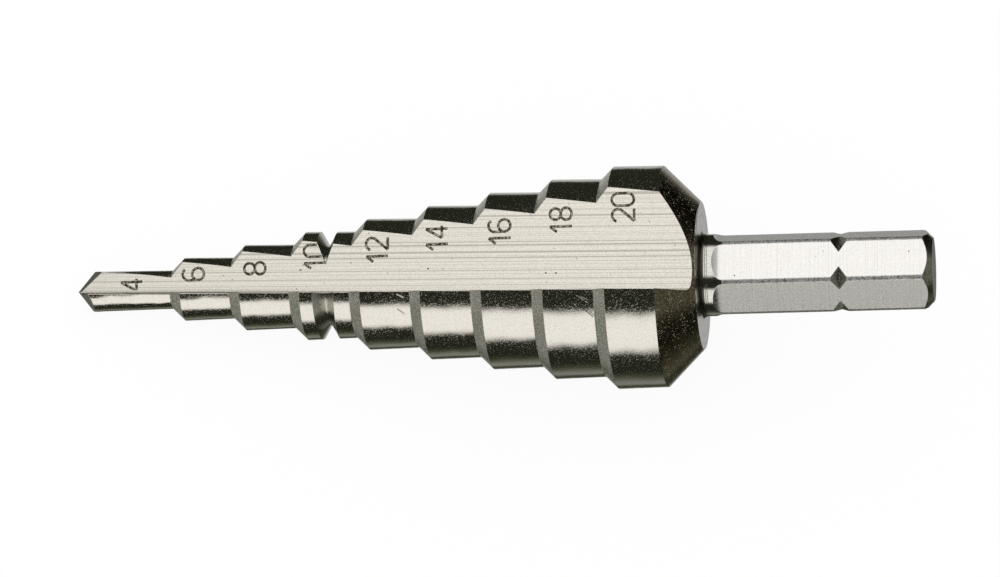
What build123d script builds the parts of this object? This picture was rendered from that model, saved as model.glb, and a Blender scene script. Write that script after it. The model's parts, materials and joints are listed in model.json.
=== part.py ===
from build123d import *

import os
from math import cos, radians, sin, tan

# Step drill for sheet metal, right-hand cutting, 4 mm to 20 mm in nine steps, with a hexagon shank.
# It is ground from one round bar of high-speed steel, so it is one solid.
#
# The drill is first made along +X, with its point at the origin and its shank towards +X.
# One flute faces +Z there. "Up" of a section is +Z, out of that flute's ground face, and
# "behind" a cutting edge is the side that follows it as the drill turns, which is -Y for the
# upper lobe. The finished drill is then laid on its side, as it comes to rest on a table.

# ---- Driving dimensions, in millimetres and degrees ----

overall_length = 74.9  # point to shank end

# Steps
smallest_diameter = 4.0  # first step
diameter_step = 2.0  # growth from one step to the next
step_count = 9  # 4, 6, 8 ... 20 mm
first_step_length = 9.55  # point to the front corner of the second step
step_pitch = 5.42  # front corner to front corner of the other steps
last_land_length = 4.3  # cylindrical length of the largest step
back_taper = 0.07  # how much smaller in radius a land is at its rear
back_cone_length = 3.15  # 45 degree cone behind the largest step

# Radial relief, measured a quarter turn behind the cutting edge
relief_at_point = 0.23
relief_at_head = 0.42
relief_lead = 45.0  # how far ahead of the cutting edge a lobe would be widest
edge_lag = 10.0  # angle of the cutting edge behind the flute face's normal
return_shift = 0.8  # behind the flutes the cone comes back out, turned about a line this far off

# Flutes, ground straight along a line that climbs away from the axis
face_height = 0.28  # ground face above the axis, at the point
face_climb = 7.0  # angle of the ground face to the axis
wall_offset = 0.3  # rake wall behind the axis, at the point
wall_climb = 1.6  # angle of the rake wall to the axis
flute_root_radius = 0.5

# Point
point_angle = 127.0  # between the two lips
lip_clearance = 35.0  # slope of the flank behind each lip
heel_slope = 45.0  # slope of the ground-away heel, both behind and inwards

# Ring groove in the 10 mm step
groove_step = 4  # fourth step
groove_place = 2.05  # from the front corner of that step to the groove's middle
groove_depth = 1.57
groove_angle = 60.0
groove_root_width = 0.1

# Shank
hexagon_sides = 6
bar_diameter = 7.1  # round neck and the corners of the hexagon
hexagon_flats = 6.35  # 1/4 inch across flats
hexagon_turn = 15.5  # from the flute face's normal to the nearest flat
neck_length = 1.95  # back of the head to the full flats
run_out_radius = 1.15  # where the grinding wheel leaves each flat
neck_fillet = 0.4
end_chamfer = 0.8
notch_place = 7.97  # shank end to the middle of the corner notches
notch_depth = 0.48
notch_angle = 108.0

# ---- Places worked out from the dimensions above ----

largest_radius = smallest_diameter / 2 + (step_count - 1) * diameter_step / 2
last_land_start = first_step_length + (step_count - 2) * step_pitch
cone_start = last_land_start + last_land_length
head_length = cone_start + back_cone_length
cone_end_radius = largest_radius - back_taper - back_cone_length
groove_middle = first_step_length + (groove_step - 2) * step_pitch + groove_place
groove_step_radius = (smallest_diameter + (groove_step - 1) * diameter_step) / 2
flat_distance = hexagon_flats / 2
bar_radius = bar_diameter / 2
clear = 2 * largest_radius  # safely outside the drill
lobe_overlap = 0.02  # the lobes run into each other inside the web


# ---- Head: two relieved lobes ----

# The relief is ground about a line that lies beside the drill's axis, ahead of the cutting
# edge. A lobe turned about it has its full radius at its cutting edge and falls away behind it.
lead = radians(relief_lead)
lead_from_face = radians(relief_lead - edge_lag)


def axis_shift(place):
    """How far the relief axis lies beside the drill's axis."""
    relief = relief_at_point + (relief_at_head - relief_at_point) * place / head_length
    return relief / (2 * cos(lead))


def outline_point(place, radius):
    """A point of the turned outline that gives this radius at the cutting edge."""
    return (place, radius + axis_shift(place) * (1 - cos(lead)))


lead_direction = Vector(0, sin(lead_from_face), cos(lead_from_face))
lead_plane = Plane(origin=(0, 0, 0), x_dir=(1, 0, 0), z_dir=Vector(1, 0, 0).cross(lead_direction))
relief_start = (0, axis_shift(0))
relief_end = (head_length, axis_shift(head_length))
relief_axis = Axis(
    origin=lead_direction * axis_shift(0),
    direction=Vector(head_length, 0, 0) + lead_direction * (axis_shift(head_length) - axis_shift(0)),
)

stepped_outline = [relief_start]
for step in range(step_count):
    land_radius = (smallest_diameter + step * diameter_step) / 2
    land_start = 0 if step == 0 else first_step_length + (step - 1) * step_pitch
    cone_foot = first_step_length + step * step_pitch - diameter_step / 2 - back_taper
    land_end = head_length if step == step_count - 1 else cone_foot
    stepped_outline.append(outline_point(land_start, land_radius))
    stepped_outline.append(outline_point(land_end, land_radius - back_taper))
stepped_outline.append(relief_end)

# The 45 degree back cone is turned with the lobe's relief. Behind the next flute it comes back
# out to that flute's cutting edge, about a line beside the drill's axis on the heel's side.
cone_front = cone_start - diameter_step
cone_front_radius = cone_end_radius + head_length - cone_front
return_excess = axis_shift(head_length) * (cos(lead_from_face) - cos(lead))

with BuildPart() as back_turning:
    with BuildSketch(lead_plane) as relieved_profile:
        with BuildLine() as relieved_outline:
            Polyline(
                relief_start,
                outline_point(0, cone_front_radius),
                outline_point(cone_front, cone_front_radius),
                outline_point(head_length, cone_end_radius),
                relief_end,
                close=True,
            )
        make_face()
    revolve(axis=relief_axis)
    with BuildSketch(Plane.XZ) as return_profile:
        with BuildLine() as return_outline:
            Polyline(
                (0, -return_shift),
                (0, -cone_front_radius - return_excess),
                (cone_front, -cone_front_radius - return_excess),
                (head_length, -cone_end_radius - return_excess),
                (head_length, -return_shift),
                close=True,
            )
        make_face()
    revolve(axis=Axis(origin=(0, 0, -return_shift), direction=(1, 0, 0)))

lip_rise = 1 / tan(radians(point_angle / 2))
flank_rise = tan(radians(lip_clearance))
heel_rise = tan(radians(heel_slope))
flank_plane = Plane(origin=(0, 0, 0), z_dir=(-1, -flank_rise, lip_rise))
heel_plane = Plane(origin=(0, 0, 0), z_dir=(-1, -heel_rise, -heel_rise))

with BuildPart() as lobe:
    with BuildSketch(lead_plane) as lobe_profile:
        with BuildLine() as lobe_outline:
            Polyline(*stepped_outline, close=True)
        make_face()
    revolve(axis=relief_axis)
    add(back_turning.part, mode=Mode.INTERSECT)
    split(bisect_by=Plane.XZ.offset(-lobe_overlap), keep=Keep.TOP)
    split(bisect_by=flank_plane, keep=Keep.BOTTOM)
    split(bisect_by=heel_plane, keep=Keep.BOTTOM)

# ---- Flute: a square notch with a rounded root, ground along one straight line ----

flute_path = Vector(1, -tan(radians(wall_climb)), tan(radians(face_climb)))
lead_in = 2.0  # how far ahead of the point the wheel starts
root_corner = Vector(0, -wall_offset, face_height) - flute_path * lead_in
flute_plane = Plane(origin=(root_corner.X, root_corner.Y, root_corner.Z), x_dir=(0, 1, 0), z_dir=(1, 0, 0))

with BuildPart() as flute:
    with BuildSketch(flute_plane) as flute_profile:
        Rectangle(clear, clear, align=(Align.MIN, Align.MIN))
        fillet(flute_profile.vertices().sort_by_distance(flute_plane.origin)[0], flute_root_radius)
    extrude(amount=(overall_length + lead_in) * flute_path.length, dir=flute_path)

# ---- Ring groove ----

groove_root = groove_step_radius - groove_depth
groove_reach = groove_step_radius + diameter_step
groove_half_width = groove_root_width / 2 + (groove_reach - groove_root) * tan(radians(groove_angle / 2))

with BuildPart() as groove:
    with BuildSketch(Plane.XZ) as groove_profile:
        with BuildLine() as groove_outline:
            Polyline(
                (groove_middle - groove_root_width / 2, groove_root),
                (groove_middle + groove_root_width / 2, groove_root),
                (groove_middle + groove_half_width, groove_reach),
                (groove_middle - groove_half_width, groove_reach),
                close=True,
            )
        make_face()
    revolve(axis=Axis.X)

with BuildPart() as head:
    for half_turn in (0, 180):
        add(lobe.part, rotation=(half_turn, 0, 0))
    for half_turn in (0, 180):
        add(flute.part, rotation=(half_turn, 0, 0), mode=Mode.SUBTRACT)
    add(groove.part, mode=Mode.SUBTRACT)

# ---- Shank: round bar with six ground flats, notched corners and a chamfered end ----

flats_start = head_length + neck_length

with BuildPart() as flat_cut:
    with BuildSketch(Plane.XZ) as flat_profile:
        with BuildLine() as flat_outline:
            floor_line = Line((overall_length + clear, flat_distance), (flats_start, flat_distance))
            run_out = CenterArc((flats_start, flat_distance + run_out_radius), run_out_radius, 270, -90)
            Polyline(
                run_out @ 1,
                (flats_start - run_out_radius, clear),
                (overall_length + clear, clear),
                floor_line @ 0,
            )
        make_face()
    extrude(amount=clear, both=True)

notch_middle = overall_length - notch_place
notch_root = bar_radius - notch_depth
notch_half_width = (clear - notch_root) * tan(radians(notch_angle / 2))

with BuildPart() as notch:
    with BuildSketch(Plane.XZ) as notch_profile:
        with BuildLine() as notch_outline:
            Polyline(
                (notch_middle, notch_root),
                (notch_middle + notch_half_width, clear),
                (notch_middle - notch_half_width, clear),
                close=True,
            )
        make_face()
    extrude(amount=clear, both=True)

with BuildPart() as shank:
    with BuildSketch(Plane.XZ) as bar_profile:
        with BuildLine() as bar_outline:
            neck_curve = CenterArc((head_length + neck_fillet, bar_radius + neck_fillet), neck_fillet, 180, 90)
            Polyline(
                neck_curve @ 1,
                (overall_length - end_chamfer, bar_radius),
                (overall_length, bar_radius - end_chamfer),
                (overall_length, 0),
                (head_length, 0),
                neck_curve @ 0,
            )
        make_face()
    revolve(axis=Axis.X)
    for side in range(hexagon_sides):
        flat_turn = 360 * side / hexagon_sides - hexagon_turn
        corner_turn = flat_turn + 180 / hexagon_sides
        add(flat_cut.part, rotation=(flat_turn, 0, 0), mode=Mode.SUBTRACT)
        add(notch.part, rotation=(corner_turn, 0, 0), mode=Mode.SUBTRACT)

with BuildPart() as drill:
    add(head.part)
    add(shank.part)

# ---- Laid down on its side, as it comes to rest ----

# The drill lies over one flute. It rests on both corners of that flute at the front of the
# largest step, and tips forward until a corner near its point touches too.
corner_search = 0.5  # only corners this near the front of the largest step
below_middle = 2.5  # and further than this below the axis
flute_corners = drill.vertices().filter_by(
    lambda corner: abs(corner.X - last_land_start) < corner_search and corner.Z < -below_middle
)
edge_corner = flute_corners.sort_by(Axis.Z)[0]
heel_corner = flute_corners.sort_by(Axis.Y)[0]
support = Vector(*heel_corner) - Vector(*edge_corner)
upright = support.cross(Vector(1, 0, 0)).normalized()


def tipping(corner):
    """How steeply the drill has to tip forward before this corner touches."""
    reach = Vector(*corner) - Vector(*edge_corner)
    return reach.dot(upright) / -reach.X


front_corners = drill.vertices().filter_by(lambda corner: corner.X < first_step_length)
front_corner = front_corners.sort_by(tipping)[0]
table_up = (Vector(*front_corner) - Vector(*edge_corner)).cross(support).normalized()
table = Plane(origin=Vector(*edge_corner), x_dir=(1, 0, 0), z_dir=table_up)
laid_box = table.to_local_coords(drill.part).bounding_box()
middle = laid_box.center()
resting_place = Location((-middle.X, -middle.Y, 0)) * table.location.inverse()

with BuildPart() as step_drill:
    with Locations(resting_place):
        add(drill.part)
step_drill.part.label = "step_drill"

os.makedirs("parts", exist_ok=True)
export_step(step_drill.part, "parts/step_drill.step")
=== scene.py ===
# A step drill lying on a pale floor: ground steel with plain size numbers, in a soft light tent.

import json
import math

import bpy
from mathutils import Matrix, Quaternion, Vector

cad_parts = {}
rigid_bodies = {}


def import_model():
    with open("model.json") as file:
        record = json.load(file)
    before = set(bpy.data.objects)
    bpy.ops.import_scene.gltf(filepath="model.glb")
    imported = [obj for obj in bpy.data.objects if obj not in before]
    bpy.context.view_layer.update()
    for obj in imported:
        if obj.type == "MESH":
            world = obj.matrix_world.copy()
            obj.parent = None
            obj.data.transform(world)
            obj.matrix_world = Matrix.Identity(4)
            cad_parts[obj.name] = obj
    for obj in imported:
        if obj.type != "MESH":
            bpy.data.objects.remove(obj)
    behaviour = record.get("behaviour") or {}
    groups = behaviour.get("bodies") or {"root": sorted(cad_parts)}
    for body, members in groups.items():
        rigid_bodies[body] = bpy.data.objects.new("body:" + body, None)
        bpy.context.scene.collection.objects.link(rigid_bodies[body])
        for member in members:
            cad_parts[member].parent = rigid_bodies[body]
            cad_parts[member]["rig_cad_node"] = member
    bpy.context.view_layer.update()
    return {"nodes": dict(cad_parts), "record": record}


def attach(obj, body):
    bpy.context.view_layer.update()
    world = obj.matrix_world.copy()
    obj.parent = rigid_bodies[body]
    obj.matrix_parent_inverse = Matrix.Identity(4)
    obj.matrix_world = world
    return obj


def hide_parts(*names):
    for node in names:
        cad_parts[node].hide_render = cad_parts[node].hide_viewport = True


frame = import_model()

MM = 0.001


# ---- Where the ground surfaces lie, in millimetres along the drill's own axes ----

POINT_END = 2.0
GROOVE_MIDDLE = 22.44
GROOVE_HALF_WIDTH = 1.0
GROOVE_FLOOR = 4.6  # the ring groove's floor is nearer the axis than this
HEAD_END = 54.94
NECK_FILLET = 0.4
BAR_RADIUS = 3.55
NECK_RIDGES = (55.46, 55.61)
RIDGE_HEIGHT = 0.035
FLATS_START = 56.89
RUN_OUT = 1.2
FLAT_RADIUS = 3.175
NOTCH_MIDDLE = 66.93
NOTCH_HALF_WIDTH = 1.2
SHANK_END = 74.9
END_CHAMFER = 0.8
FACE_HEIGHT = 0.28  # of the flute's ground face above the axis, at the point
FACE_CLIMB = math.radians(7.0)
WALL_OFFSET = 0.3  # of the flute's rake wall beside the axis, at the point
WALL_CLIMB = math.radians(1.6)
ROOT_RADIUS = 0.5


# ---- The drill's own axes, read from the mounts of its shank ----
# They start at its point. X runs along the drill to the shank's end, Y across the open flute's
# face and away from its rake wall, and Z out of that face.

FLAT_FROM_FACE = math.radians(44.5)  # from the open flute's face round to the front flat
UPPER_FLAT_FROM_FACE = math.radians(15.5)  # and the other way round to the next flat

ALONG = Vector((1, 0, 0))
ACROSS = Vector((0, 1, 0))
OUT = Vector((0, 0, 1))

mounts = {mount["name"]: mount for mount in frame["record"]["mounts"]}
along = Vector(mounts["shank_end"]["axis"]).normalized()
tip = Vector(mounts["shank_end"]["pos_m"]) - along * (SHANK_END * MM)
front_flat = Vector(mounts["shank_flat_front"]["axis"]).normalized()
out_of_face = Quaternion(along, -FLAT_FROM_FACE) @ front_flat
across = out_of_face.cross(along)


def axes_matrix(x_axis, y_axis, z_axis, origin):
    """A placement whose columns are these three axes."""
    turn = Matrix((x_axis, y_axis, z_axis)).transposed()
    return Matrix.Translation(origin) @ turn.to_4x4()


drill_axes = axes_matrix(along, across, out_of_face, tip)
to_drill = drill_axes.inverted()
turn_to_drill = to_drill.to_3x3()


# ---- Small helpers for pieces ----


def select(*pieces):
    """Only these pieces are selected, and the first of them is active."""
    bpy.ops.object.select_all(action="DESELECT")
    for piece in pieces:
        piece.select_set(True)
    bpy.context.view_layer.objects.active = pieces[0]


def put_on_drill(piece, placing):
    """The selected piece, with its mesh moved to this place in the drill's own axes."""
    piece.matrix_world = drill_axes @ placing
    bpy.ops.object.transform_apply(location=True, rotation=True, scale=True)
    return piece


def joined(pieces, name, material):
    """One piece of the drill made of all these, with one finish."""
    select(*pieces)
    bpy.ops.object.join()
    piece = bpy.context.active_object
    piece.name = name
    piece.data.materials.clear()
    piece.data.materials.append(material)
    bpy.ops.object.shade_smooth()
    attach(piece, "root")


# ---- Small helpers for materials ----

NOISE_MIDDLE = 0.5
NOISE_RANGE = (0.3, 0.7)  # where most of a noise lies


def new_material(name):
    """An empty node material, with its tree and its output node."""
    material = bpy.data.materials.new(name)
    material.use_nodes = True
    tree = material.node_tree
    tree.nodes.clear()
    output = tree.nodes.new("ShaderNodeOutputMaterial")
    return material, tree, output


def add_node(tree, kind, settings=None, **inputs):
    """A node with its settings, and with each input set or joined, by its name or as at_NUMBER."""
    node = tree.nodes.new(kind)
    for name, value in (settings or {}).items():
        setattr(node, name, value)
    for name, value in inputs.items():
        key = name.replace("_", " ")
        if key.startswith("at "):
            key = int(key[3:])
        if isinstance(value, bpy.types.NodeSocket):
            tree.links.new(value, node.inputs[key])
        else:
            node.inputs[key].default_value = value
    return node


def maths(tree, operation, *values):
    """The result of one arithmetic node."""
    inputs = {f"at_{number}": value for number, value in enumerate(values)}
    return add_node(tree, "ShaderNodeMath", {"operation": operation}, **inputs).outputs[0]


def between(tree, value, low, high, low_result=0.0, high_result=1.0):
    """A value from one range turned smoothly into another, and held at its ends."""
    return add_node(
        tree,
        "ShaderNodeMapRange",
        {"interpolation_type": "SMOOTHSTEP"},
        Value=value,
        From_Min=low,
        From_Max=high,
        To_Min=low_result,
        To_Max=high_result,
    ).outputs[0]


def blend(tree, share, first, second):
    """One number turning into another as the share grows from 0 to 1."""
    return add_node(tree, "ShaderNodeMix", at_0=share, at_2=first, at_3=second).outputs[0]


def noise_at(tree, place, scale, detail=2.0, roughness=0.6):
    """A noise through the drill, with this many bumps per millimetre."""
    return add_node(
        tree, "ShaderNodeTexNoise", Vector=place, Scale=scale, Detail=detail, Roughness=roughness
    ).outputs["Fac"]


def bumped(tree, height, depth, **normal):
    """The normal of a surface with this height, this many millimetres deep, over a Normal."""
    return add_node(
        tree, "ShaderNodeBump", Height=height, Strength=1.0, Distance=depth * MM, **normal
    ).outputs["Normal"]


def toned(tree, colour, tone):
    """A colour made lighter or darker."""
    return add_node(
        tree, "ShaderNodeVectorMath", {"operation": "SCALE"}, Vector=colour, Scale=tone
    ).outputs["Vector"]


def end_in_metal(tree, output, **inputs):
    """The material's surface is metal with these inputs."""
    metal = add_node(tree, "ShaderNodeBsdfPrincipled", **inputs)
    tree.links.new(metal.outputs["BSDF"], output.inputs["Surface"])


def drill_place(tree):
    """Millimetres along the drill's own axes."""
    return add_node(
        tree,
        "ShaderNodeMapping",
        Vector=add_node(tree, "ShaderNodeTexCoord").outputs["Object"],
        Scale=(1 / MM, 1 / MM, 1 / MM),
        Rotation=turn_to_drill.to_euler(),
        Location=to_drill.translation / MM,
    ).outputs["Vector"]


def parts_of(tree, place):
    """The parts X, Y and Z of a place."""
    return add_node(tree, "ShaderNodeSeparateXYZ", Vector=place).outputs


# ---- Ground steel ----

RING_SHARE = 0.6  # how much of a ring's place comes from its distance from the axis

LINE_RANGE = (0.34, 0.52)  # the part of the line noise that shows
DARK_LINES = 2.0  # how much darker a line gets, in shades
LIGHT_LINES = 0.3  # and how much lighter the steel between two lines
ROUGHNESS_SPREAD = 0.15
ROUGH_SPOTS = (0.5, 0.68)  # the part of the grain noise that is rougher

HAIR_BENDS = 1.3  # per millimetre
HAIR_WIDTH = 0.02  # as a part of the noise it follows
HAIR_GRAIN = (0.48, 0.56)  # the part of the grain noise that shows a hair scratch
HAIR_ROUGHNESS = 0.5

PIT_CELLS = 0.9  # per millimetre
PIT_EDGE = (0.04, 0.08)  # from a cell's middle

# Where a painted shade starts to change and where it ends, in millimetres, and its tone
ROOT_WIDTH = (0.1, 0.55)  # from the rake wall
ROOT_LENGTH = (12.0, 26.0)  # along the drill
ROOT_DARKER = (0.55, 0.1)  # towards the point and towards the head
NECK_CORNER = (3.8, 4.8)  # from the axis
NECK_CORNER_TONE = 0.3


def flute_distances(tree, place):
    """A point's place along the drill, and how far it lies from the nearer flute's two walls."""
    parts = parts_of(tree, place)
    side = maths(tree, "SIGN", parts["Z"])
    wall_drift = maths(tree, "MULTIPLY_ADD", parts["X"], math.tan(WALL_CLIMB), WALL_OFFSET)
    from_wall = maths(tree, "MULTIPLY_ADD", parts["Y"], side, wall_drift)
    height = maths(tree, "ABSOLUTE", parts["Z"])
    above_face = maths(tree, "MULTIPLY_ADD", parts["X"], -math.tan(FACE_CLIMB), height)
    return parts["X"], from_wall, above_face


def distance_from_axis(tree, place):
    """How far a point lies from the drill's axis, and its place along it."""
    parts = parts_of(tree, place)
    beside_axis = add_node(tree, "ShaderNodeCombineXYZ", Y=parts["Y"], Z=parts["Z"]).outputs[0]
    length = add_node(tree, "ShaderNodeVectorMath", {"operation": "LENGTH"}, Vector=beside_axis)
    return length.outputs["Value"], parts["X"]


def stroke_across_flute(tree, place):
    """Changes from line to line of the wheel that ground the flutes, on both their walls."""
    _, from_wall, above_face = flute_distances(tree, place)
    return maths(tree, "ADD", from_wall, above_face)


def stroke_around_axis(tree, place):
    """Changes from ring to ring around the axis, on cylinders, cones and end faces alike."""
    radius, place_along = distance_from_axis(tree, place)
    return maths(tree, "MULTIPLY_ADD", radius, RING_SHARE, place_along)


def stroke_across_flats(tree, place):
    """Changes from one straight line across a flat to the next."""
    return parts_of(tree, place)["X"]


def hair_scratches(tree, place, grain):
    """A mask of hair scratches: each follows one level of a noise, where the grain shows it."""
    hairs = noise_at(tree, place, HAIR_BENDS, detail=2.5)
    off_line = maths(tree, "ABSOLUTE", maths(tree, "SUBTRACT", hairs, NOISE_MIDDLE))
    on_hair = between(tree, off_line, 0.0, HAIR_WIDTH, 1.0, 0.0)
    return maths(tree, "MULTIPLY", on_hair, between(tree, grain, *HAIR_GRAIN))


def shaded_flute_root(tree, place):
    """Painted shade in the rounded root of a flute: its colour is darker there, most near the
    point.
    """
    place_along, from_wall, _ = flute_distances(tree, place)
    in_root = between(tree, from_wall, *ROOT_WIDTH, 1.0, 0.0)
    darker = between(tree, place_along, *ROOT_LENGTH, *ROOT_DARKER)
    return maths(tree, "SUBTRACT", 1.0, maths(tree, "MULTIPLY", in_root, darker))


def shaded_neck_corner(tree, place):
    """Painted shade: the back face is coloured darker near the neck, in the corner."""
    radius, _ = distance_from_axis(tree, place)
    return between(tree, radius, *NECK_CORNER, NECK_CORNER_TONE, 1.0)


def ground_steel(
    name,
    colour,
    roughness,
    stroke,
    lines,
    grain,
    rounding=0.08,
    rough_spots=0.0,
    hairs=0.0,
    pits=0.0,
    painted_shade=None,
):
    """Steel with straight grinding lines and a fine grain over edges that look rounded.

    The lines and the grain each have a size, a depth and a shade. Sizes, depths and the
    rounding are in millimetres. A shade is how much lighter or darker the steel gets. Rough
    spots and hair scratches are rougher, pits are darker, and painted shade darkens a part.
    """
    line_gap, line_depth, line_shade = lines
    grain_size, grain_depth, grain_shade = grain
    material, tree, output = new_material(name)
    place = drill_place(tree)
    line_noise = add_node(
        tree,
        "ShaderNodeTexNoise",
        {"noise_dimensions": "1D"},
        W=stroke(tree, place),
        Scale=1 / line_gap,
        Detail=5.0,
        Roughness=0.75,
    ).outputs["Fac"]
    grain_noise = noise_at(tree, place, 1 / grain_size)

    edges = add_node(tree, "ShaderNodeBevel", {"samples": 8}, Radius=rounding * MM)
    lined = bumped(tree, line_noise, line_depth, Normal=edges.outputs["Normal"])
    grained = bumped(tree, grain_noise, grain_depth, Normal=lined)

    # The lines are thin and dark, and the steel between them is hardly lighter
    dark_line = 1 - DARK_LINES * line_shade
    light_line = 1 + LIGHT_LINES * line_shade
    line_tone = between(tree, line_noise, *LINE_RANGE, dark_line, light_line)
    grain_tone = between(tree, grain_noise, *NOISE_RANGE, 1 - grain_shade, 1 + grain_shade)
    tone = maths(tree, "MULTIPLY", line_tone, grain_tone)
    smoothest = (1 - ROUGHNESS_SPREAD) * roughness
    roughest = (1 + ROUGHNESS_SPREAD) * roughness
    dullness = between(tree, grain_noise, *NOISE_RANGE, smoothest, roughest)
    if rough_spots:
        spots = between(tree, grain_noise, *ROUGH_SPOTS)
        dullness = maths(tree, "MULTIPLY_ADD", spots, rough_spots, dullness)
    if hairs:
        scratched = hair_scratches(tree, place, grain_noise)
        lighter = maths(tree, "MULTIPLY_ADD", scratched, hairs, 1.0)
        tone = maths(tree, "MULTIPLY", tone, lighter)
        dullness = maths(tree, "MULTIPLY_ADD", scratched, HAIR_ROUGHNESS, dullness)
    if pits:
        cells = add_node(tree, "ShaderNodeTexVoronoi", Vector=place, Scale=PIT_CELLS)
        pitted = between(tree, cells.outputs["Distance"], *PIT_EDGE, 1 - pits, 1.0)
        tone = maths(tree, "MULTIPLY", tone, pitted)
    # Painted shade: the colour is made darker where shade would fall
    if painted_shade:
        tone = maths(tree, "MULTIPLY", tone, painted_shade(tree, place))

    end_in_metal(
        tree,
        output,
        Base_Color=toned(tree, colour, tone),
        Metallic=1.0,
        Roughness=dullness,
        Normal=grained,
    )
    return material


FINISHES = {
    "flute_face": dict(
        colour=(0.77, 0.73, 0.645), roughness=0.2, stroke=stroke_across_flute,
        lines=(0.26, 0.0004, 0.2), grain=(0.13, 0.001, 0.13), pits=0.5, painted_shade=shaded_flute_root,
    ),
    "ground_lands": dict(
        colour=(0.81, 0.77, 0.69), roughness=0.1, stroke=stroke_around_axis,
        lines=(0.12, 0.0002, 0.02), grain=(0.14, 0.0048, 0.12), rough_spots=0.2,
    ),
    "step_cones": dict(
        colour=(0.77, 0.755, 0.67), roughness=0.3, stroke=stroke_around_axis,
        lines=(0.15, 0.0005, 0.05), grain=(0.14, 0.008, 0.3), rough_spots=0.2,
    ),
    "back_cone": dict(
        colour=(0.36, 0.30, 0.22), roughness=0.2, stroke=stroke_around_axis,
        lines=(0.3, 0.0008, 0.12), grain=(0.16, 0.004, 0.4), hairs=1.0,
    ),
    "back_face": dict(
        colour=(0.80, 0.82, 0.83), roughness=0.18, stroke=stroke_around_axis,
        lines=(0.2, 0.001, 0.08), grain=(0.16, 0.002, 0.12), painted_shade=shaded_neck_corner,
    ),
    "grooves": dict(
        colour=(0.67, 0.655, 0.595), roughness=0.18, stroke=stroke_around_axis,
        lines=(0.15, 0.0005, 0.08), grain=(0.16, 0.004, 0.15),
    ),
    "turned_neck": dict(
        colour=(0.73, 0.715, 0.645), roughness=0.12, stroke=stroke_around_axis,
        lines=(0.25, 0.0004, 0.05), grain=(0.16, 0.003, 0.12),
    ),
    "shank_flats": dict(
        colour=(0.96, 0.93, 0.89), roughness=0.28, stroke=stroke_across_flats,
        lines=(0.1, 0.0003, 0.07), grain=(0.15, 0.0015, 0.07), pits=0.3,
    ),
    "shank_corners": dict(
        colour=(0.95, 0.92, 0.88), roughness=0.36, stroke=stroke_around_axis,
        lines=(0.2, 0.0005, 0.1), grain=(0.14, 0.005, 0.4), rounding=0.22,
    ),
    "shank_chamfer": dict(
        colour=(0.64, 0.62, 0.54), roughness=0.22, stroke=stroke_around_axis,
        lines=(0.15, 0.0008, 0.12), grain=(0.16, 0.008, 0.3),
    ),
    # Painted shade: the neck's rounded root is coloured nearly black
    "shaded_neck_root": dict(
        colour=(0.12, 0.105, 0.08), roughness=0.3, stroke=stroke_around_axis,
        lines=(0.2, 0.001, 0.5), grain=(0.12, 0.0008, 0.2),
    ),
    # Painted shade: a darker copy of the shank flats, for the front flat and the one opposite
    "dull_shank_flats": dict(
        colour=(0.65, 0.635, 0.585), roughness=0.3, stroke=stroke_across_flats,
        lines=(0.1, 0.0003, 0.08), grain=(0.14, 0.003, 0.2), pits=0.3,
    ),
    # Painted shade: the shank's end face is coloured dark grey
    "shank_end": dict(
        colour=(0.19, 0.185, 0.175), roughness=0.6, stroke=stroke_around_axis,
        lines=(0.2, 0.001, 0.3), grain=(0.16, 0.002, 0.3), rounding=0.15,
    ),
    "ground_point": dict(
        colour=(0.36, 0.355, 0.31), roughness=0.25, stroke=stroke_around_axis,
        lines=(0.12, 0.0006, 0.2), grain=(0.14, 0.004, 0.3),
    ),
}
finish_names = list(FINISHES)
drill_finishes = {name: ground_steel(name, **finish) for name, finish in FINISHES.items()}


# ---- The drill: a merged copy of the CAD solid, with its own finish on each ground surface ----

NEAR = 0.03  # how far from its surface a facet's middle may lie, in millimetres
BORDER = 0.01  # the play where one surface ends and the next begins
CORNER_DEPTH = 0.06  # how far inside the bar a rounded corner's facets may lie
# How much of a facet's normal lies in one direction
SAME_WAY = 0.99
STRAIGHT_OUT = 0.995
FACES_THE_END = 0.95
ON_A_CONE = 0.5
SLANTED = 0.3
SIDEWAYS = 0.2
SHADED_SIDE = -0.3  # a normal's Y times its Z is less on the front flat and the one opposite, which get painted shade
# Where two facets meet more sharply than this, the edge stays sharp
CREASE = math.radians(40)
FINISH_CREASE = math.radians(5)  # between two finishes
MERGE_DISTANCE = 1e-7  # in metres

face_normal = Vector((-math.sin(FACE_CLIMB), 0, math.cos(FACE_CLIMB)))
wall_normal = Vector((math.sin(WALL_CLIMB), math.cos(WALL_CLIMB), 0))
half_turn = Matrix.Rotation(math.pi, 3, "X")


def face_height_at(place_along):
    """Height of the ground face above the drill's axis."""
    return FACE_HEIGHT + math.tan(FACE_CLIMB) * place_along


def in_flute(place, normal):
    """Whether a facet belongs to the open flute: its face, its rake wall or its rounded root."""
    above_face = place.z - face_height_at(place.x)
    before_wall = place.y + WALL_OFFSET + math.tan(WALL_CLIMB) * place.x
    on_face = abs(above_face) < NEAR and normal.dot(face_normal) > SAME_WAY
    on_wall = abs(before_wall) < NEAR and normal.dot(wall_normal) > SAME_WAY
    in_root = (
        -NEAR < above_face < ROOT_RADIUS
        and -NEAR < before_wall < ROOT_RADIUS
        and normal.y > 0
        and normal.z > 0
        and abs(normal.x) < SIDEWAYS
    )
    return on_face or on_wall or in_root


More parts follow.
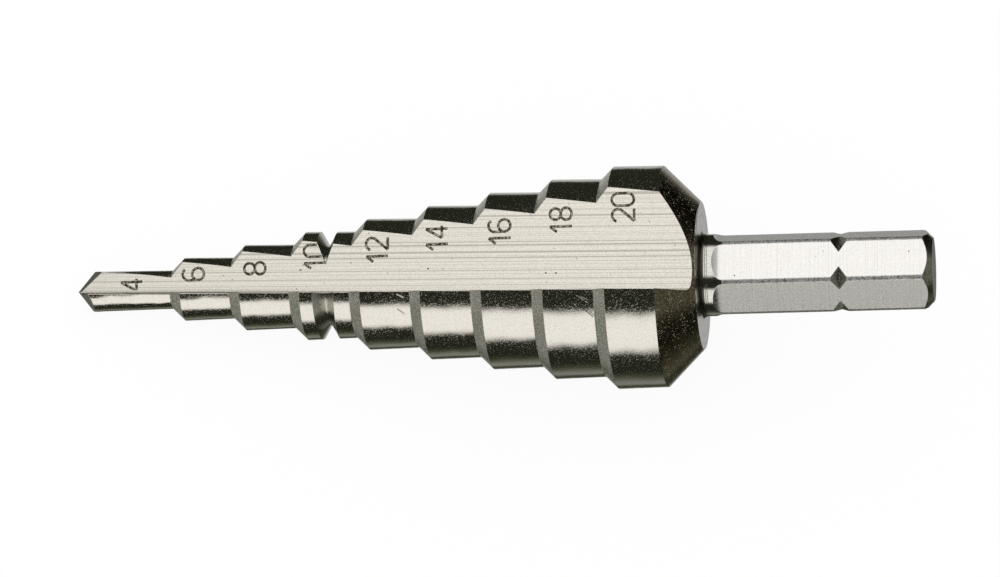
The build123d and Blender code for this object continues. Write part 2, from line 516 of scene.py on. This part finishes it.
def shank_finish(place, normal, radius):
    """The finish of a facet behind the head."""
    if place.x > SHANK_END - END_CHAMFER - BORDER and normal.x > SLANTED:
        # The end face's dark colour is painted shade
        return "shank_end" if normal.x > FACES_THE_END else "shank_chamfer"
    if place.x < HEAD_END + NECK_FILLET:
        # Painted shade: the rounded root is coloured nearly black
        return "shaded_neck_root"
    if place.x < FLATS_START - RUN_OUT:
        return "turned_neck"
    if abs(place.x - NOTCH_MIDDLE) < NOTCH_HALF_WIDTH and abs(normal.x) > SLANTED:
        return "shank_chamfer"
    outwards = (place.y * normal.y + place.z * normal.z) / radius
    if radius > BAR_RADIUS - CORNER_DEPTH and outwards > STRAIGHT_OUT:
        return "shank_corners" if place.x > FLATS_START else "turned_neck"
    # Painted shade: the front flat and the one opposite get the darker copy
    return "dull_shank_flats" if normal.y * normal.z < SHADED_SIDE else "shank_flats"


def finish_of(place, normal):
    """The finish of a facet, from its middle and its normal in the drill's own axes."""
    radius = math.hypot(place.y, place.z)
    if place.x > HEAD_END + BORDER:
        return shank_finish(place, normal, radius)
    if in_flute(place, normal) or in_flute(half_turn @ place, half_turn @ normal):
        return "flute_face"
    near_groove = abs(place.x - GROOVE_MIDDLE) < GROOVE_HALF_WIDTH
    if near_groove and (abs(normal.x) > ON_A_CONE or radius < GROOVE_FLOOR):
        return "grooves"
    if normal.x > FACES_THE_END:
        return "back_face"
    if normal.x > ON_A_CONE:
        return "back_cone"
    if normal.x < -SLANTED and place.x < POINT_END:
        return "ground_point"
    return "step_cones" if normal.x < -ON_A_CONE else "ground_lands"


select(frame["nodes"]["step_drill"])
bpy.ops.object.duplicate()
drill = bpy.context.active_object
drill.name = "drill"
del drill["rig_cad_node"]  # the copy isn't a CAD node
drill.data.materials.clear()
for finish in drill_finishes.values():
    drill.data.materials.append(finish)
bpy.ops.object.mode_set(mode="EDIT")
bpy.ops.mesh.select_all(action="SELECT")
bpy.ops.mesh.remove_doubles(threshold=MERGE_DISTANCE)
bpy.ops.object.mode_set(mode="OBJECT")
bpy.ops.mesh.customdata_custom_splitnormals_clear()

faces_at_edge = {}
for face in drill.data.polygons:
    finish_name = finish_of(to_drill @ face.center / MM, turn_to_drill @ face.normal)
    face.material_index = finish_names.index(finish_name)
    for key in face.edge_keys:
        faces_at_edge.setdefault(key, []).append(face)
for edge in drill.data.edges:
    pair = faces_at_edge[edge.key]
    bend = pair[0].normal.angle(pair[-1].normal, 0)
    two_finishes = pair[0].material_index != pair[-1].material_index
    edge.use_edge_sharp = bend > CREASE or (two_finishes and bend > FINISH_CREASE)
bpy.ops.object.shade_smooth(keep_sharp_edges=True)
drill.modifiers.new("steady_flats", "WEIGHTED_NORMAL").keep_sharp = True
bpy.ops.object.modifier_apply(modifier="steady_flats")
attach(drill, "root")
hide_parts("step_drill")


# ---- Size numbers, engraved by a fine point on the open flute's face ----

DIGIT_HEIGHT = 1.95
STROKE_RADIUS = 0.12
STROKE_FLATNESS = 0.12  # a stroke's height over its width
ARC_POINTS = 14
# As shares of the height, as are the strokes below
DIGIT_WIDTH = 0.54
NARROW_STEP = 0.52  # from a 1 to the next digit
WIDE_STEP = 0.69  # from another digit to the next

# The strokes are rows of small beads, dark at one level of a noise and light at another
BEADS = 4.5  # per millimetre
BEAD_DEPTH = 0.01
DARK_BEAD = (0.46, (0.045, 0.04, 0.025, 1))
LIGHT_BEAD = (0.62, (0.5, 0.46, 0.37, 1))


def arc(middle_x, middle_y, reach_x, reach_y, first, last):
    """Points along an arc, between two angles in degrees."""
    points = []
    for step in range(ARC_POINTS + 1):
        turn = math.radians(first + (last - first) * step / ARC_POINTS)
        points.append((middle_x + reach_x * math.cos(turn), middle_y + reach_y * math.sin(turn)))
    return points


half = DIGIT_WIDTH / 2
# The c is a 0 whose foot the ring groove cuts off
digit_strokes = {
    "0": [
        arc(half, 0.73, half, 0.27, 0, 180)
        + arc(half, 0.27, half, 0.27, 180, 360)
        + [(2 * half, 0.73)]
    ],
    "c": [[(0.0, 0.17)] + arc(half, 0.73, half, 0.27, 180, 0) + [(2 * half, 0.38)]],
    "1": [[(0.0, 0.68), (0.24, 1.0)], [(0.24, 1.0), (0.24, 0.0)]],
    "2": [arc(half, 0.73, half, 0.27, 165, -35) + [(0.0, 0.0)], [(0.0, 0.0), (2 * half, 0.0)]],
    "4": [[(2 * half, 0.27), (0.0, 0.27)], [(0.0, 0.27), (0.4, 1.0)], [(0.4, 1.0), (0.4, 0.0)]],
    "6": [arc(half, 0.73, half, 0.27, 35, 180) + arc(half, 0.28, half, 0.28, 180, 540)],
    "8": [
        arc(half, 0.74, half - 0.02, 0.25, -90, 270),
        arc(half, 0.25, half, 0.25, -270, 90),
    ],
}

# Each number, with the place of its top along the drill and of its left side across it
numbers = [
    ("4", 3.93, -0.08),
    ("6", 9.56, 0.66),
    ("8", 15.11, 0.95),
    ("1c", 20.53, 1.29),
    ("12", 26.10, 1.67),
    ("14", 31.45, 2.51),
    ("16", 37.00, 2.83),
    ("18", 42.40, 3.63),
    ("20", 47.86, 4.33),
]

# Read with the point upwards: a digit's foot points to the shank, and it is read across the face
towards_foot = Vector((math.cos(FACE_CLIMB), 0, math.sin(FACE_CLIMB)))


def on_face(place_along, place_across):
    """A point of the open flute's face, in the drill's own axes, in metres."""
    return Vector((place_along, place_across, face_height_at(place_along))) * MM


def engraved_number(digits, top, left):
    """One number's strokes, as flat beads of metal let into the ground face."""
    curve = bpy.data.curves.new("size_" + digits, "CURVE")
    curve.dimensions = "3D"
    curve.bevel_depth = STROKE_RADIUS * MM
    curve.bevel_resolution = 1
    curve.use_fill_caps = True
    pen = 0.0
    for digit in digits:
        for stroke in digit_strokes[digit]:
            spline = curve.splines.new("POLY")
            spline.points.add(len(stroke) - 1)
            for point, (glyph_x, glyph_y) in zip(spline.points, stroke):
                place = ((pen + glyph_x) * DIGIT_HEIGHT * MM, glyph_y * DIGIT_HEIGHT * MM, 0)
                point.co = (*place, 1)
        pen += NARROW_STEP if digit == "1" else WIDE_STEP
    number = bpy.data.objects.new("size_" + digits, curve)
    bpy.context.collection.objects.link(number)
    select(number)
    bpy.ops.object.convert(target="MESH")
    rise = face_normal * STROKE_FLATNESS
    foot_left = on_face(top + DIGIT_HEIGHT, left)
    return put_on_drill(number, axes_matrix(ACROSS, -towards_foot, rise, foot_left))


material, tree, output = new_material("engraved_strokes")
beads = noise_at(tree, drill_place(tree), BEADS)
bead_colour = add_node(tree, "ShaderNodeValToRGB", Fac=beads)
for stop, (position, colour) in zip(bead_colour.color_ramp.elements, (DARK_BEAD, LIGHT_BEAD)):
    stop.position = position
    stop.color = colour
end_in_metal(
    tree,
    output,
    Base_Color=bead_colour.outputs["Color"],
    Metallic=0.6,
    Roughness=0.5,
    Normal=bumped(tree, beads, BEAD_DEPTH),
)
joined([engraved_number(*number) for number in numbers], "size_numbers", material)


# ---- Small marks of use: pits and scratches, and nicks that catch the light ----

MARK_HEIGHT = 0.02
FACE_PIT = (0.2, 0.14)  # length and width
FLAT_PIT = (0.16, 0.1)
SCRATCH_BEADS = 5
BEAD_OVERLAP = 1.3  # a bead's length over its share of the scratch
SPECKLES = 6.0  # per millimetre


def on_land(place_along, turn, radius):
    """A point on a land and the way out of it, by its angle in degrees off the open face."""
    out = Vector((0, math.sin(math.radians(turn)), math.cos(math.radians(turn))))
    return Vector((place_along, 0, 0)) + out * radius, out


def flat_bead(middle, out, direction, length, width, height):
    """A closed bead of metal, half sunk in the surface. All in millimetres on the drill's axes."""
    bpy.ops.object.select_all(action="DESELECT")
    bpy.ops.mesh.primitive_uv_sphere_add(segments=10, ring_count=6, radius=MM / 2)
    sideways = out.cross(direction).normalized()
    forwards = sideways.cross(out)
    placing = axes_matrix(forwards * length, sideways * width, out * height, middle * MM)
    return put_on_drill(bpy.context.active_object, placing)


def scratch(start, end, radius, width, height):
    """A row of beads on a land, from one place to another: each is a length and an angle."""
    points = []
    for step in range(SCRATCH_BEADS + 1):
        share = step / SCRATCH_BEADS
        place_along = start[0] + (end[0] - start[0]) * share
        turn = start[1] + (end[1] - start[1]) * share
        points.append(on_land(place_along, turn, radius))
    beads = []
    for (first, first_out), (second, second_out) in zip(points, points[1:]):
        reach = second - first
        out = (first_out + second_out).normalized()
        length = reach.length * BEAD_OVERLAP
        beads.append(flat_bead((first + second) / 2, out, reach, length, width, height))
    return beads


def speckled_metal(name, colour, metallic, roughness):
    """Metal whose tone changes from speckle to speckle."""
    material, tree, output = new_material(name)
    tone = noise_at(tree, drill_place(tree), SPECKLES, roughness=0.5)
    speckled = toned(tree, colour, tone)
    end_in_metal(tree, output, Base_Color=speckled, Metallic=metallic, Roughness=roughness)
    return material


flat_out = Vector((0, math.sin(UPPER_FLAT_FROM_FACE), math.cos(UPPER_FLAT_FROM_FACE)))
flat_across = Vector((0, math.cos(UPPER_FLAT_FROM_FACE), -math.sin(UPPER_FLAT_FROM_FACE)))

# Pits in the open flute's face and in the upper flat, then scratches on the lands
dark_marks = []
for place in ((42.0, 0.14), (42.88, 0.11), (20.2, 1.2), (31.6, 0.9)):
    middle = on_face(*place) / MM
    dark_marks.append(flat_bead(middle, face_normal, ALONG, *FACE_PIT, MARK_HEIGHT))
for place_along, place_across in ((58.0, -1.24), (72.95, 0.55)):
    middle = ALONG * place_along + flat_out * FLAT_RADIUS + flat_across * place_across
    dark_marks.append(flat_bead(middle, flat_out, flat_across, *FLAT_PIT, MARK_HEIGHT))
dark_marks += scratch((45.49, -20.8), (46.32, -26.2), 8.935, 0.05, MARK_HEIGHT)
dark_marks += scratch((46.06, -22.9), (47.04, -29.6), 8.93, 0.04, MARK_HEIGHT)
dark_marks += scratch((29.03, -26.0), (29.64, -31.0), 5.94, 0.04, MARK_HEIGHT)

bright_marks = scratch((29.07, -13.4), (29.66, -16.2), 5.96, 0.12, 3 * MARK_HEIGHT)
bright_marks += scratch((44.97, -13.4), (45.96, -18.0), 8.945, 0.025, MARK_HEIGHT)
bright_marks += scratch((45.35, -14.0), (46.0, -16.5), 8.945, 0.02, MARK_HEIGHT)

joined(
    dark_marks, "pits_and_scratches", speckled_metal("dark_pits", (0.16, 0.14, 0.11), 0.5, 0.6)
)
joined(
    bright_marks, "bright_nicks", speckled_metal("bright_nicks", (1.6, 1.55, 1.45), 1.0, 0.3)
)


# ---- Two fine turned ridges on the neck ----

ridges = []
for place_along in NECK_RIDGES:
    bpy.ops.object.select_all(action="DESELECT")
    bpy.ops.mesh.primitive_torus_add(
        major_radius=BAR_RADIUS * MM,
        minor_radius=RIDGE_HEIGHT * MM,
        major_segments=64,
        minor_segments=8,
    )
    placing = axes_matrix(ACROSS, OUT, ALONG, ALONG * (place_along * MM))
    ridges.append(put_on_drill(bpy.context.active_object, placing))
joined(ridges, "neck_ridges", drill_finishes["turned_neck"])


# ---- Camera ----

SENSOR_WIDTH = 36.0
FOCAL_LENGTH = 208.2
CAMERA_DISTANCE = 0.5015  # in metres, as are the next lengths
CAMERA_AHEAD = math.radians(7.86)  # towards the shank
CAMERA_BELOW = math.radians(4.5)  # below the flute face's normal
CAMERA_ROLL = math.radians(1.545)
AIM_ALONG = 0.03725  # from the point
AIM_DROP = 7.627 / 5783  # the axis lies this slope above the picture's middle
CLIP_START = 0.01

from_axis = Quaternion(along, CAMERA_BELOW) @ out_of_face
up_picture = from_axis.cross(along)
aim = tip + along * AIM_ALONG
towards_camera = along * math.sin(CAMERA_AHEAD) + from_axis * math.cos(CAMERA_AHEAD)
seat = aim + CAMERA_DISTANCE * towards_camera
back = (seat - aim).normalized()
right = up_picture.cross(back)
tilt = Quaternion(right, -math.atan(AIM_DROP))
back = tilt @ back
up = tilt @ up_picture
roll = Quaternion(back, -CAMERA_ROLL)

bpy.ops.object.camera_add()
camera = bpy.context.active_object
camera.name = "camera"
camera.data.sensor_width = SENSOR_WIDTH
camera.data.lens = FOCAL_LENGTH
camera.data.clip_start = CLIP_START
camera.matrix_world = axes_matrix(roll @ right, roll @ up, back, seat)
bpy.context.scene.camera = camera


# ---- Floor and world ----

FLOOR_SIZE = 4.0
FLOOR_GLOW = 0.93  # how much of the floor's look is its own light
WHITE = (1, 1, 1, 1)

bpy.ops.object.select_all(action="DESELECT")
bpy.ops.mesh.primitive_plane_add(size=FLOOR_SIZE, location=(0, 0, 0))
floor = bpy.context.active_object
floor.name = "floor"
material, tree, output = new_material("pale_floor")
rays = add_node(tree, "ShaderNodeLightPath").outputs
seen = maths(tree, "MAXIMUM", rays["Is Camera Ray"], rays["Is Glossy Ray"])
seen = maths(tree, "MAXIMUM", seen, rays["Is Transmission Ray"])
share = maths(tree, "MULTIPLY", seen, FLOOR_GLOW)
paper = add_node(tree, "ShaderNodeBsdfDiffuse", Color=WHITE)
glow = add_node(tree, "ShaderNodeEmission", Color=WHITE, Strength=1.0)
mixed = add_node(
    tree, "ShaderNodeMixShader", Fac=share, at_1=paper.outputs[0], at_2=glow.outputs[0]
)
tree.links.new(mixed.outputs[0], output.inputs["Surface"])
floor.data.materials.append(material)
floor.visible_glossy = False

world = bpy.data.worlds.new("soft_white")
world.use_nodes = True
world.node_tree.nodes["Background"].inputs["Color"].default_value = WHITE
world.node_tree.nodes["Background"].inputs["Strength"].default_value = 1.0
bpy.context.scene.world = world
bpy.context.scene.view_settings.view_transform = "Standard"


# ---- The light tent, a wide ball whose Z axis runs from the drill's shank to its point ----

TENT_RADIUS = 0.6

# How bright the cloth is round the drill, by degrees upwards from the camera's side
TENT_BANDS = (
    (-180, 0.5),
    (-169, 0.5),
    (-167, 0.06),
    (-152, 0.04),
    (-146, 0.25),
    (-138, 0.20),
    (-126, 0.06),
    (-116, 0.02),
    (-88, 0.02),
    (-79, 1.0),
    (-44, 1.0),
    (-36, 0.02),
    (-8, 0.02),
    (0, 1.0),
    (84, 1.0),
    (94, 0.02),
    (152, 0.02),
    (158, 0.52),
    (172, 0.52),
    (180, 0.5),
)

# Where each change along the tent starts and ends, as shares of its radius towards the point
POINT_CAP = (0.47, 0.62)
SHANK_CAP = (-0.88, -0.97)
SHANK_HALF = (-0.5, -0.38)
BACK_LIGHT_END = (-0.1, -0.04)
TOP_SHADE_END = (-0.34, -0.2)

# Where each change round the tent starts and ends, as shares of a turn
BACK_LIGHT_SIDES = (169 / 360, 172 / 360)  # from the camera's side, either way
TOP_SHADE_START = (0.88, 0.90)  # from straight behind, by below, the camera's side and above

POINT_CAP_SHARE = 0.85  # how much of the bands this cap hides
POINT_CAP_LEVEL = 0.25
SHANK_CAP_LEVEL = 0.14
SHANK_HALF_LIGHT = 0.45  # how much light is left there
TOP_SHADE = 0.8  # how much light it takes away

# The dark parts of the cloth are faintly green
DARK_LEVELS = (0.03, 0.3)
DARK_TINT = (0.95, 1.06, 0.7, 1)


def grey(brightness):
    """An opaque grey."""
    return (brightness, brightness, brightness, 1)


bpy.ops.mesh.primitive_uv_sphere_add(segments=64, ring_count=32, radius=TENT_RADIUS)
tent = bpy.context.active_object
tent.name = "light_tent"
tent.matrix_world = axes_matrix(from_axis, up_picture, from_axis.cross(up_picture), aim)
material, tree, output = new_material("tent_cloth")
place = add_node(tree, "ShaderNodeTexCoord").outputs["Object"]
towards_point = parts_of(tree, place)["Z"]
around = add_node(
    tree, "ShaderNodeTexGradient", {"gradient_type": "RADIAL"}, Vector=place
).outputs["Fac"]

bands = add_node(tree, "ShaderNodeValToRGB", Fac=around)
first_band, last_band = bands.color_ramp.elements
first_band.color = grey(TENT_BANDS[0][1])
last_band.color = grey(TENT_BANDS[-1][1])
for angle, brightness in TENT_BANDS[1:-1]:
    bands.color_ramp.elements.new(angle / 360 + 0.5).color = grey(brightness)


def along_tent(start, end, start_result=0.0, end_result=1.0):
    """A change along the tent, between two shares of its radius towards the point."""
    return between(
        tree, towards_point, start * TENT_RADIUS, end * TENT_RADIUS, start_result, end_result
    )


point_cap = along_tent(*POINT_CAP, 0.0, POINT_CAP_SHARE)
level = blend(tree, point_cap, bands.outputs["Color"], POINT_CAP_LEVEL)
level = maths(tree, "MULTIPLY", level, along_tent(*SHANK_HALF, SHANK_HALF_LIGHT, 1.0))

over_the_top = between(tree, around, *TOP_SHADE_START)
top_shade = maths(tree, "MULTIPLY", over_the_top, along_tent(*TOP_SHADE_END, 1.0, 0.0))
unshaded = maths(tree, "MULTIPLY_ADD", top_shade, -TOP_SHADE, 1.0)
level = maths(tree, "MULTIPLY", level, unshaded)

from_front = maths(tree, "ABSOLUTE", maths(tree, "SUBTRACT", around, 0.5))
straight_behind = between(tree, from_front, *BACK_LIGHT_SIDES)
back_light = maths(tree, "MULTIPLY", straight_behind, along_tent(*BACK_LIGHT_END, 1.0, 0.0))
level = blend(tree, back_light, level, 1.0)
level = blend(tree, along_tent(*SHANK_CAP), level, SHANK_CAP_LEVEL)

cloth_colour = add_node(
    tree,
    "ShaderNodeMix",
    {"data_type": "RGBA"},
    at_0=between(tree, level, *DARK_LEVELS),
    at_6=DARK_TINT,
    at_7=WHITE,
)
glow = add_node(tree, "ShaderNodeEmission", Color=cloth_colour.outputs[2], Strength=level)
tree.links.new(glow.outputs[0], output.inputs["Surface"])
material.cycles.emission_sampling = "NONE"
tent.data.materials.append(material)
tent.visible_camera = False
tent.visible_diffuse = False
tent.visible_transmission = False
tent.visible_volume_scatter = False
tent.visible_shadow = False
